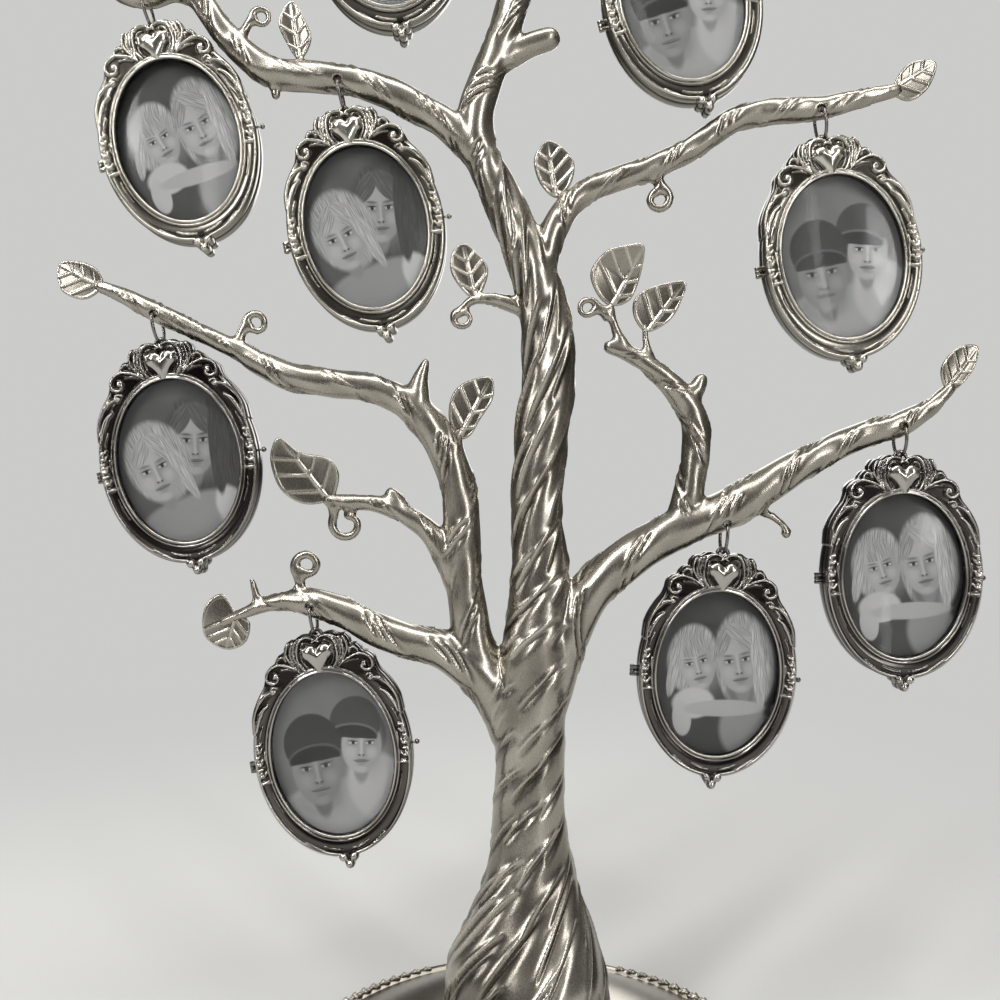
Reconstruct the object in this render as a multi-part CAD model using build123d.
from build123d import *
import math
import os

# Photo tree stand. Millimetres, +Z up, -Y towards the viewer, origin under the trunk on the table.

# Places along the tree are pixels of the reference picture's plane: mm_per_px turns them into lengths.
stand_height = 402.0
stand_height_px = 1340
trunk_axis_px = 528
table_px = 1080
mm_per_px = stand_height / stand_height_px

# Base casting, felt pad and screw
base_radius = 71.5
base_rim_height = 6.6
base_wall = 3.0
base_boss_radius = 9.0
rim_band_width = 4.3
garland_bead_radius = 2.1
swag_angle = 124.0
dome_bulge_share = 0.60
felt_thickness = 2.0
felt_proud = 0.8
felt_margin = 3.5
felt_gap = 0.2
screw_radius = 2.5
screw_head_radius = 4.6
screw_head_height = 3.2
screw_depth = 16.0
screw_clearance = 0.3
thread_clearance = 0.05

# Sections of a limb between two stations
loft_steps = 2

# Joints between the castings of the tree
tenon_radius = 1.8
tenon_length = 5.0
tenon_clearance = 0.05
tenon_end_gap = 0.3

# Leaves and tendrils
leaf_thickness = 1.5
leaf_edge = 0.4
curl_wire_radius = 1.15
curl_end_radius = 1.55

# Links and the holes that carry them
wire_radius = 0.5
link_hole_radius = 1.1
link_play = 0.1
link_drop = 8.2
link_half_depth = 5.3
link_corner_radius = 1.6

# Locket frames, in their own plane: u to the right, v up, from the middle of the hinge and clasp
hole_to_nub = 45.3
frame_half_width = 23.4
frame_half_height = 31.0
window_half_width = 18.0
window_half_height = 24.2
oval_rise = 0.9
parting_gap = 0.3
plate_face = 3.7
ridge_face = 4.3
heart_face = 4.9
ridge_width = 1.4
ridge_inset = 0.7
rebate_depth = 1.75
rebate_margin = 1.3
stack_clearance = 0.4
pane_thickness = 1.2
card_thickness = 0.4
layer_gap = 0.05
eye_ring_radius = 1.65
eye_wire_radius = 0.65
eye_play = 0.15
eye_pocket_clearance = 0.35
heart_half_width = 4.1
scroll_ball_radius = 1.6
frame_edge_fillet = 0.6

# Hinge and clasp on the parting line
hinge_offset = 1.5
knuckle_radius = 0.85
knuckle_length = 1.05
knuckle_gap = 0.1
pin_radius = 0.4
pin_clearance = 0.05
web_thickness = 0.7
clasp_bead_radius = 0.8

# Crest and foot of a frame: rounds at (u, v) with a radius, as shares of frame_half_width
crest_round_shares = [
    (0.145, 1.406, 0.167),
    (0.308, 1.342, 0.145),
    (0.470, 1.274, 0.094),
    (0.581, 1.124, 0.132),
    (0.200, 1.240, 0.250),
    (0.966, 0.110, 0.060),
    (0.966, -0.030, 0.060),
]
foot_round_shares = [
    (0.000, -1.375, 0.060),
    (0.105, -1.300, 0.058),
    (0.000, -1.290, 0.110),
]
heart_round_shares = (0.078, 1.335, 0.092)
heart_tip_share = 1.140
scroll_ball_shares = (0.600, 1.095)

# Limbs: (x px, y px, half thickness px) from the root outwards
trunk_foot_px = 1010
trunk_px = [
    (528, trunk_foot_px, 82.5), (528, 988, 82), (528, 963, 79), (529, 931, 67), (529, 892, 51.5),
    (529.5, 858, 42), (529.5, 820, 37), (529.5, 770, 34.5), (530, 720, 35.5), (535, 660, 36),
    (539.5, 610, 32), (540, 568, 29), (537, 523, 26), (538, 478, 26), (543.5, 425, 26.5),
    (548, 385, 26.5), (548.5, 345, 26.5), (541, 297, 24), (525, 250, 22), (505, 205, 20), (484, 160, 18),
]
upper_left_root_px = [(490, 176, 13), (471, 148, 16), (447, 125, 15.5), (425, 112, 15.5)]
upper_left_px = [
    (399, 98, 16), (376, 88, 15.5), (350, 81, 14.5), (322, 77.5, 15.5), (290, 75.5, 15.5), (264, 69, 15),
    (243, 52, 14), (224, 33, 13), (210, 13, 12.5), (194, -5, 12), (172, -10, 12), (146, -3, 12),
    (119, -10, 10.5), (100, -34, 8.5), (90, -60, 6.5),
]
crown_root_px = [(488, 178, 14), (478, 146, 18), (476, 116, 18.5)]
crown_px = [
    (484, 84, 17.5), (499, 47, 16.5), (513, 4, 16.5), (525, -42, 15.5), (534, -88, 11.5), (541, -132, 8),
    (545, -168, 5),
]
crown_left_root_px = [(519, -18, 13), (510, -64, 13), (494, -106, 12.5)]
crown_left_px = [
    (472, -146, 12), (443, -180, 12), (405, -205, 12), (363, -219, 12), (328, -230, 9), (300, -246, 6.5),
]
crown_right_root_px = [(520, -28, 13), (542, -74, 13), (571, -110, 12)]
crown_right_px = [(604, -134, 12), (645, -144, 12), (684, -162, 9.5), (714, -190, 6.5)]
upper_right_root_px = [(538, 284, 17), (547, 246, 15.5), (563, 214, 13.5)]
upper_right_px = [
    (583, 194, 12.5), (608, 182, 12.5), (650, 168.5, 12.5), (690, 149.5, 12.2), (733, 121, 12.5),
    (772, 112, 13.5), (819, 108.5, 12), (862, 98, 9.5), (896, 90, 7),
]
middle_left_root_px = [(502, 712, 22), (486, 672, 21), (474, 642, 20.5), (468.5, 614, 19.5)]
middle_left_px = [
    (465, 588, 18.5), (462.5, 557, 18.5), (461.5, 512, 18.5), (456, 478, 18), (444, 448, 18), (426, 421, 17.5),
    (402, 401, 15.5), (370, 388, 14.5), (330, 383, 14.5), (290, 376.5, 14.5), (260, 363, 12.5),
    (238, 350, 10.5), (218, 341, 9.5), (186, 326, 10), (156, 312, 10.5), (126, 297, 8.5), (100, 286, 6.5),
]
hooked_root_px = [(462, 596, 12.5), (451, 568, 13.5), (439, 544, 12.5), (424, 527, 11)]
hooked_px = [(408, 516, 10.5), (392, 508, 10), (370, 503, 8.5), (348, 502, 8), (328, 500, 6.5)]
lower_left_root_px = [(519, 752, 22), (503, 706, 24), (481, 674, 24), (453, 654, 21.5), (427, 645, 18.5)]
lower_left_px = [
    (404, 640, 17.5), (382, 632, 17.5), (357, 619, 16), (332, 608, 15.5), (309, 602, 14.5), (287, 601, 10.5),
    (265, 605, 8), (242, 614, 6), (222, 623, 5),
]
lower_right_root_px = [(541, 716, 24), (556, 662, 25), (575, 615, 23), (600, 581, 22)]
lower_right_px = [
    (636, 553, 21), (671, 532, 20), (705, 518, 19.5), (740, 502.5, 20), (780, 477, 17.5), (820, 455, 15),
    (860, 436, 13.5), (900, 424, 13), (930, 407, 9), (950, 388, 6.5),
]
forked_root_px = [(677, 524, 14), (686, 502, 15.5), (691, 480, 14.5)]
forked_px = [
    (695, 458, 14.5), (696.5, 434, 14.5), (691.5, 413, 14), (678, 393, 13), (661, 375.5, 11), (643, 361.5, 9.5),
    (626, 352.5, 8.5), (610, 347, 7.5),
]
trunk_twig_px = [(514, 306, 9), (497, 300, 7.5), (481, 298.5, 6), (469, 302, 5), (461, 311, 4)]

# Short cut-off stubs: (limb, from x, from y, half px, to x, to y, half px)
stub_px = {
    "crown_branch": [(503, 60, 14, 552, 40, 11)],
    "middle_left_branch": [(418, 400, 14, 424, 364, 4)],
    "hooked_branch": [(402, 506, 9, 392, 494, 6)],
    "lower_left_branch": [(258, 606, 5, 252, 581, 4)],
    "forked_branch": [(688, 402, 11, 702, 379, 6)],
}

# Curls: (limb, stem from x, y, centre x, y, radius px, start and end angle in degrees, seen from the front)
curl_px = {
    "upper_left_branch": [(240, 42, 261, 18, 10, 180, -120)],
    "middle_left_branch": [(236, 348, 256, 324, 11, 180, -120)],
    "upper_right_branch": [(652, 172, 658, 199, 12, 60, -210)],
    "trunk_twig": [(461, 312, 463, 318, 10, 150, 420)],
    "hooked_branch": [(334, 502, 347, 524, 15, 150, 400)],
    "lower_left_branch": [(301, 596, 307, 566, 13, 230, -80)],
    "forked_branch": [(609, 318, 588, 309, 10, 30, 290)],
}

# Leaves: outlines and stem ends in px
leaf_px = {
    "upper_left_branch": [[(300, 60), (287, 44), (279, 22), (291, 0), (304, 18), (312, 40)]],
    "crown_left_branch": [[(308, -243), (274, -236), (246, -254), (256, -286), (286, -288), (310, -258)]],
    "crown_right_branch": [[(716, -190), (740, -186), (764, -208), (748, -236), (722, -230), (708, -210)]],
    "crown_branch": [[(541, -160), (528, -190), (534, -225), (552, -256), (570, -224), (568, -190)]],
    "upper_right_branch": [
        [(556, 198), (540, 184), (534, 160), (546, 142), (562, 148), (574, 164), (570, 186)],
        [(892, 90), (908, 64), (936, 62), (928, 88), (908, 102)],
    ],
    "middle_left_branch": [
        [(459, 438), (449, 420), (452, 396), (466, 382), (491, 377), (493, 398), (480, 420), (470, 436)],
        [(102, 288), (84, 300), (62, 290), (58, 264), (82, 262), (100, 272)],
    ],
    "trunk_twig": [[(475, 299), (462, 290), (451, 272), (452, 253), (463, 243), (476, 252), (488, 268), (484, 288)]],
    "hooked_branch": [
        [(330, 501), (304, 504), (282, 490), (272, 465), (273, 447), (281, 438), (300, 452), (328, 458),
         (339, 472), (337, 490)],
    ],
    "lower_left_branch": [[(236, 612), (250, 622), (246, 642), (226, 650), (205, 636), (206, 606), (222, 594)]],
    "lower_right_branch": [[(946, 390), (940, 368), (956, 348), (978, 346), (974, 368), (958, 388)]],
    "forked_branch": [
        [(612, 306), (598, 296), (590, 274), (604, 254), (624, 248), (642, 250), (640, 276), (630, 300)],
        [(647, 332), (634, 318), (634, 300), (650, 288), (684, 282), (680, 304), (668, 322)],
    ],
}

# Stems that carry leaves and curls away from a limb: (from x, y, half px, to x, y, half px)
stem_px = {
    "upper_left_branch": [(300, 72, 5, 301, 50, 3)],
    "upper_right_branch": [(576, 200, 5, 558, 190, 3.5), (652, 168, 6, 655, 184, 4)],
    "middle_left_branch": [(459, 450, 6, 459, 425, 3.5)],
    "trunk_twig": [(482, 299, 4, 473, 290, 3)],
    "lower_left_branch": [(305, 596, 8, 300, 580, 4.5), (224, 622, 5, 238, 618, 4)],
    "lower_right_branch": [(756, 508, 5, 778, 520, 3.5), (778, 520, 3.5, 790, 532, 3)],
    "forked_branch": [
        (624, 352, 6, 614, 326, 4.5), (614, 326, 4.5, 610, 300, 3.5), (648, 356, 5, 645, 324, 3.5),
    ],
}
bud_radius_px = 5.5
bud_px = {
    "upper_left_branch": [(273, 86), (276, 95)],
    "lower_right_branch": [(786, 534)],
}

# Frames: hole in the limb (x px, y px) and lean in degrees, anticlockwise seen from the front
frame_places_px = [
    (339, 84, 11.0),
    (311.5, 605, 9.0),
    (724.5, 524, -3.5),
    (363, -216, 9.0),
    (645, -140, 14.0),
    (145.5, 0, 14.0),
    (156, 315, 10.0),
    (819, 112, 8.0),
    (900, 427, 0.0),
]


def spot(x_px, y_px):
    """Point of the tree's middle plane at a place of the picture."""
    return Vector((x_px - trunk_axis_px) * mm_per_px, 0, (table_px - y_px) * mm_per_px)


def curve_value(before, start, end, after, share):
    """Smooth curve between two values that also follows their neighbours."""
    steady = 2 * start + (end - before) * share
    bend = (2 * before - 5 * start + 4 * end - after) * share ** 2
    twist = (3 * start - before - 3 * end + after) * share ** 3
    return (steady + bend + twist) / 2


def smooth_stations(stations):
    """The stations with further ones between them, on a smooth curve."""
    last = len(stations) - 1
    rows = []
    for index in range(last):
        near = [stations[min(max(index + step, 0), last)] for step in (-1, 0, 1, 2)]
        for part in range(loft_steps):
            rows.append([curve_value(*values, part / loft_steps) for values in zip(*near)])
    return rows + [list(stations[last])]


def limb_sections(stations):
    """Planes square to the limb, each with its round section."""
    rows = smooth_stations(stations)
    centres = [spot(x, y) for x, y, half in rows]
    last = len(rows) - 1
    sections = []
    for index, (x, y, half) in enumerate(rows):
        along = centres[min(index + 1, last)] - centres[max(index - 1, 0)]
        plane = Plane(origin=centres[index], x_dir=(0, 1, 0), z_dir=along)
        sections.append((plane, (plane * Circle(half * mm_per_px)).wire()))
    return sections


def cast_limb(sections):
    """Tapered limb through its sections."""
    return Solid.make_loft([wire for plane, wire in sections])


def split_limb(root, outer):
    """Root, outer limb, and the plane between them."""
    sections = limb_sections(root + outer)
    seam = (len(root) - 1) * loft_steps
    return cast_limb(sections[:seam + 1]), cast_limb(sections[seam:]), sections[seam][0]


def tenon(plane, radius, length):
    """Peg that reaches back from a seam into the root."""
    return plane * Pos(0, 0, -length / 2) * Cylinder(radius, length)


def tip(station):
    """Round end of a limb."""
    x, y, half = station
    return Pos(spot(x, y)) * Sphere(half * mm_per_px)


def cone_between(x0, y0, half0, x1, y1, half1):
    """Tapered stub or stem with a rounded end."""
    start = spot(x0, y0)
    along = spot(x1, y1) - start
    plane = Plane(origin=start, x_dir=(0, 1, 0), z_dir=along)
    body = Cone(half0 * mm_per_px, half1 * mm_per_px, along.length)
    return plane * Pos(0, 0, along.length / 2) * body + tip((x1, y1, half1))


def curl(stem_x, stem_y, x, y, radius, start, end):
    """Tendril: a round hook from its stem, with a ball at its end."""
    centre = spot(x, y)
    reach = radius * mm_per_px
    plane = Plane(origin=centre, x_dir=(1, 0, 0), z_dir=(0, -1, 0))
    arc = plane * CenterArc((0, 0), reach, start, end - start)
    first = arc @ 0
    last = arc @ 1
    ring = sweep(Plane(origin=first, z_dir=arc % 0) * Circle(curl_wire_radius), path=arc)
    stem_start = spot(stem_x, stem_y)
    stem_line = first - stem_start
    stem = Plane(origin=stem_start, x_dir=(0, 1, 0), z_dir=stem_line) * (
        Pos(0, 0, stem_line.length / 2) * Cone(curl_end_radius, curl_wire_radius, stem_line.length))
    ball = Pos(last) * Sphere(curl_end_radius)
    return ring + stem + Pos(first) * Sphere(curl_wire_radius) + ball


def leaf(outline):
    """Flat leaf with a softened edge."""
    points = [spot(x, y) for x, y in outline]
    flat = Face(Wire([Spline(*points, periodic=True)]))
    blade = extrude(flat, leaf_thickness / 2, dir=(0, 1, 0), both=True)
    return chamfer(blade.edges(), leaf_edge)


def dress(name, solid):
    """Limb with its stubs, stems, curls, leaves and buds."""
    for row in stub_px.get(name, []) + stem_px.get(name, []):
        solid += cone_between(*row)
    for row in curl_px.get(name, []):
        solid += curl(*row)
    for outline in leaf_px.get(name, []):
        solid += leaf(outline)
    for x, y in bud_px.get(name, []):
        solid += tip((x, y, bud_radius_px))
    return solid


def link_hole(x_px, y_px):
    """Drill for a hole through a limb, front to back."""
    drill = Cylinder(link_hole_radius, base_radius)
    return Pos(spot(x_px, y_px)) * Rot(90, 0, 0) * drill


def make_base():
    """Domed shell with a screw boss and a garland on its rim."""
    seat = spot(trunk_axis_px, trunk_foot_px).Z
    seat_radius = trunk_px[0][2] * mm_per_px
    dome_edge = base_radius - rim_band_width

    def profile(inset, floor):
        top = seat - inset
        edge = dome_edge - inset
        middle = (seat_radius + edge) / 2
        rise = base_rim_height + (seat - base_rim_height) * dome_bulge_share
        outer = base_radius - inset
        arc = ThreePointArc((seat_radius, top), (middle, rise - inset), (edge, base_rim_height - inset))
        lines = Polyline((edge, base_rim_height - inset), (outer, base_rim_height - inset),
                         (outer, floor), (0, floor), (0, top), (seat_radius, top))
        return make_face(Plane.XZ * (arc + lines))

    shell = revolve(profile(0, felt_proud), Axis.Z)
    hollow = revolve(profile(base_wall, 0), Axis.Z)
    boss = Pos(0, 0, seat / 2 + felt_thickness / 2) * Cylinder(base_boss_radius, seat - felt_thickness)
    recess = Pos(0, 0, felt_thickness / 2) * Cylinder(base_radius - felt_margin + felt_gap, felt_thickness)
    solid = shell - hollow + boss - recess
    bead = Plane.XZ * Pos(base_radius - garland_bead_radius, base_rim_height) * Circle(garland_bead_radius)
    for turn in (-swag_angle / 2, 180 - swag_angle / 2):
        solid += Rot(0, 0, turn) * revolve(bead, Axis.Z, swag_angle)
    shank = Cylinder(screw_radius + screw_clearance, seat * 2)
    pocket_depth = felt_thickness + screw_head_height + screw_clearance
    pocket = Cylinder(screw_head_radius + screw_clearance, pocket_depth * 2)
    return solid - shank - pocket


def make_felt_pad():
    """Disc that carries the stand on the table."""
    return Pos(0, 0, felt_thickness / 2) * Cylinder(base_radius - felt_margin, felt_thickness)


def make_base_screw():
    """Screw from the boss up into the trunk, its head above the felt."""
    seat = spot(trunk_axis_px, trunk_foot_px).Z
    head_top = felt_thickness + screw_head_height + screw_clearance
    length = seat + screw_depth - head_top
    head = Pos(0, 0, head_top - screw_head_height / 2) * Cylinder(screw_head_radius, screw_head_height)
    return head + Pos(0, 0, head_top + length / 2) * Cylinder(screw_radius, length)


def make_trunk(roots, sockets):
    """Trunk with its limb roots, sockets and the screw's hole."""
    solid = cast_limb(limb_sections(trunk_px))
    for root in roots:
        solid += root
    for socket in sockets:
        solid -= socket
    seat = spot(trunk_axis_px, trunk_foot_px).Z
    bore = Cylinder(screw_radius + thread_clearance, (screw_depth + tenon_end_gap) * 2)
    return solid - Pos(0, 0, seat) * bore


def oval(half_width, half_height, low, high):
    """Oval plate of a frame between two depths."""
    plate = extrude(Ellipse(half_width, half_height), high - low)
    return Pos(0, oval_rise, low) * plate


def oval_ridge(half_width, half_height):
    """Raised oval line on a frame's plate."""
    inside = oval(half_width - ridge_width, half_height - ridge_width, plate_face, ridge_face)
    return oval(half_width, half_height, plate_face, ridge_face) - inside


def rounds_face(shares):
    """Rounds of a table and their mirror images, as one flat shape."""
    unit = frame_half_width
    shape = None
    for u, v, r in shares:
        for side in ((1, -1) if u else (1,)):
            disc = Pos(side * u * unit, v * unit) * Circle(r * unit)
            shape = disc if shape is None else shape + disc
    return shape


def half_shell():
    """Half of a frame with its crest, ridges, heart and scroll balls, without hinge parts."""
    face = Pos(0, oval_rise) * Ellipse(frame_half_width, frame_half_height)
    face += rounds_face(crest_round_shares) + rounds_face(foot_round_shares)
    inner = parting_gap / 2
    plate = Pos(0, 0, inner) * extrude(face, plate_face - inner)
    solid = fillet(plate.faces().sort_by(Axis.Z)[-1].outer_wire().edges(), frame_edge_fillet)
    solid += oval_ridge(frame_half_width - ridge_inset, frame_half_height - ridge_inset)
    solid += oval_ridge(window_half_width + ridge_width, window_half_height + ridge_width)
    solid += heart()
    u, v = scroll_ball_shares
    for side in (1, -1):
        place = Pos(side * u * frame_half_width, v * frame_half_width, plate_face)
        solid += place * Sphere(scroll_ball_radius)
    solid -= oval(window_half_width, window_half_height, 0, heart_face)
    rebate_width = window_half_width + rebate_margin
    solid -= oval(rebate_width, window_half_height + rebate_margin, 0, rebate_depth)
    return solid


def heart():
    """Raised heart of the crest."""
    u, v, r = [share * frame_half_width for share in heart_round_shares]
    low = heart_tip_share * frame_half_width
    slope = math.degrees(math.acos(r / math.hypot(u, v - low))) - math.degrees(math.atan2(v - low, u))
    side = (u + r * math.cos(math.radians(slope)), v + r * math.sin(math.radians(slope)))
    body = make_face(Polyline((0, low), side, (u, v), (0, v + r / 2), (-u, v), (-side[0], side[1]), (0, low)))
    face = body + Pos(u, v) * Circle(r) + Pos(-u, v) * Circle(r)
    raised = Pos(0, 0, plate_face) * extrude(face, heart_face - plate_face)
    return raised


def knuckle(u, v, low, high):
    """Hinge knuckle with its web; low and high are the web's depths."""
    barrel = Pos(u, v, 0) * Rot(90, 0, 0) * Cylinder(knuckle_radius, knuckle_length)
    reach = hinge_offset + ridge_width
    middle = (low + high) / 2
    web = Pos(u + reach / 2, v, middle) * Box(reach, knuckle_length, high - low)
    return barrel + web


def make_front_shell():
    """Front half: eye, two knuckles with the pin, and the clasp bead."""
    solid = half_shell()
    hinge_u = -frame_half_width - hinge_offset
    low = parting_gap / 2
    step = knuckle_length + knuckle_gap
    for v in (step, -step):
        solid += knuckle(hinge_u, v, low, low + web_thickness)
    pin_length = 3 * knuckle_length + 2 * knuckle_gap
    solid += Pos(hinge_u, 0, 0) * Rot(90, 0, 0) * Cylinder(pin_radius, pin_length)
    bead_u = frame_half_width + hinge_offset
    bead_stem = Box(hinge_offset + ridge_width, web_thickness, web_thickness)
    solid += Pos(bead_u, 0, 0) * Sphere(clasp_bead_radius)
    solid += Pos(bead_u - (hinge_offset + ridge_width) / 2, 0, low + web_thickness / 2) * bead_stem
    solid += Pos(0, eye_height(), 0) * Torus(eye_ring_radius, eye_wire_radius)
    return solid


def make_back_shell():
    """Back half: pocket for the eye and the middle knuckle with its bore."""
    solid = mirror(half_shell(), about=Plane.XY)
    pocket_radius = eye_ring_radius + eye_wire_radius + eye_pocket_clearance
    pocket_depth = eye_wire_radius + eye_pocket_clearance
    solid -= Pos(0, eye_height(), -pocket_depth / 2) * Cylinder(pocket_radius, pocket_depth)
    low = parting_gap / 2
    solid += knuckle(-frame_half_width - hinge_offset, 0, -low - web_thickness, -low)
    bore = Cylinder(pin_radius + pin_clearance, knuckle_length)
    return solid - Pos(-frame_half_width - hinge_offset, 0, 0) * Rot(90, 0, 0) * bore


def bar_height():
    """Height of the link's top bar above the middle of a frame."""
    return hole_to_nub - (link_hole_radius - wire_radius - link_play)


def eye_height():
    """Height of the eye's centre above the middle of a frame."""
    inner = eye_ring_radius - eye_wire_radius
    return bar_height() - link_drop - (inner - wire_radius - eye_play)


def make_link():
    """Closed wire ring: straight bar through the limb, round bottom through the eye."""
    top = bar_height()
    turn = top - link_drop + link_half_depth
    corner = link_corner_radius
    edge = link_half_depth
    outline = [
        Line((corner - edge, top), (edge - corner, top)),
        RadiusArc((edge - corner, top), (edge, top - corner), corner),
        Line((edge, top - corner), (edge, turn)),
        RadiusArc((edge, turn), (-edge, turn), edge),
        Line((-edge, turn), (-edge, top - corner)),
        RadiusArc((-edge, top - corner), (corner - edge, top), corner),
    ]
    stand_up = Plane(origin=(0, 0, 0), x_dir=(0, 0, -1), z_dir=(1, 0, 0))
    path = stand_up * Wire(outline)
    start = Plane(origin=(0, top, 0), z_dir=(0, 0, 1))
    return sweep(start * Circle(wire_radius), path=path)


def stack_discs(low, high):
    """Two like oval discs, in front of and behind the middle plane."""
    half_width = window_half_width + rebate_margin - stack_clearance
    half_height = window_half_height + rebate_margin - stack_clearance
    front = oval(half_width, half_height, low, high)
    return [front, mirror(front, about=Plane.XY)]


def write(name, solids):
    """One STEP file for a node."""
    parts = solids if isinstance(solids, list) else [solids]
    bodies = [body for part in parts for body in part.solids()]
    shape = bodies[0] if len(bodies) == 1 else Compound(children=bodies)
    export_step(shape, f"parts/{name}.step")


def make_stand():
    """Base, trunk and limbs, each with its own solid."""
    splits = {
        "upper_left_branch": (upper_left_root_px, upper_left_px),
        "crown_branch": (crown_root_px, crown_px),
        "upper_right_branch": (upper_right_root_px, upper_right_px),
        "middle_left_branch": (middle_left_root_px, middle_left_px),
        "lower_left_branch": (lower_left_root_px, lower_left_px),
        "lower_right_branch": (lower_right_root_px, lower_right_px),
    }
    side_splits = {
        "crown_left_branch": ("crown_branch", crown_left_root_px, crown_left_px),
        "crown_right_branch": ("crown_branch", crown_right_root_px, crown_right_px),
        "hooked_branch": ("middle_left_branch", hooked_root_px, hooked_px),
        "forked_branch": ("lower_right_branch", forked_root_px, forked_px),
    }
    peg_length = tenon_length + tenon_end_gap
    limbs = {}
    roots = []
    sockets = []
    for name, (root, outer) in splits.items():
        root_solid, limb, plane = split_limb(root, outer)
        roots.append(root_solid)
        sockets.append(tenon(plane, tenon_radius + tenon_clearance, peg_length))
        limbs[name] = limb + tip(outer[-1]) + tenon(plane, tenon_radius, tenon_length)
    for name, (host, root, outer) in side_splits.items():
        root_solid, limb, plane = split_limb(root, outer)
        limbs[host] += root_solid
        limbs[host] -= tenon(plane, tenon_radius + tenon_clearance, peg_length)
        limbs[name] = limb + tip(outer[-1]) + tenon(plane, tenon_radius, tenon_length)
    trunk = make_trunk(roots, sockets)
    limbs["trunk_twig"] = cast_limb(limb_sections(trunk_twig_px)) + tip(trunk_twig_px[-1]) - trunk
    for name in limbs:
        solid = dress(name, limbs[name])
        for x, y, lean in frame_places_px:
            solid -= link_hole(x, y)
        write(name, solid)
    write("trunk", trunk)
    write("base", make_base())
    write("felt_pad", make_felt_pad())
    write("base_screw", make_base_screw())


def make_frames():
    """Nine links and locket frames, each leaning at its own hole."""
    front = make_front_shell()
    back = make_back_shell()
    link = make_link()
    pane_low = card_thickness + 2 * layer_gap
    panes = stack_discs(pane_low, pane_low + pane_thickness)
    photos = stack_discs(layer_gap, layer_gap + card_thickness)
    for number, (x, y, lean) in enumerate(frame_places_px, start=1):
        place = Pos(spot(x, y)) * Rot(0, -lean, 0) * Rot(90, 0, 0) * Pos(0, -hole_to_nub, 0)
        write(f"front_shell_{number}", place * front)
        write(f"back_shell_{number}", place * back)
        write(f"link_{number}", place * link)
        write(f"panes_{number}", [place * part for part in panes])
        write(f"photos_{number}", [place * part for part in photos])


os.makedirs("parts", exist_ok=True)
make_stand()
make_frames()
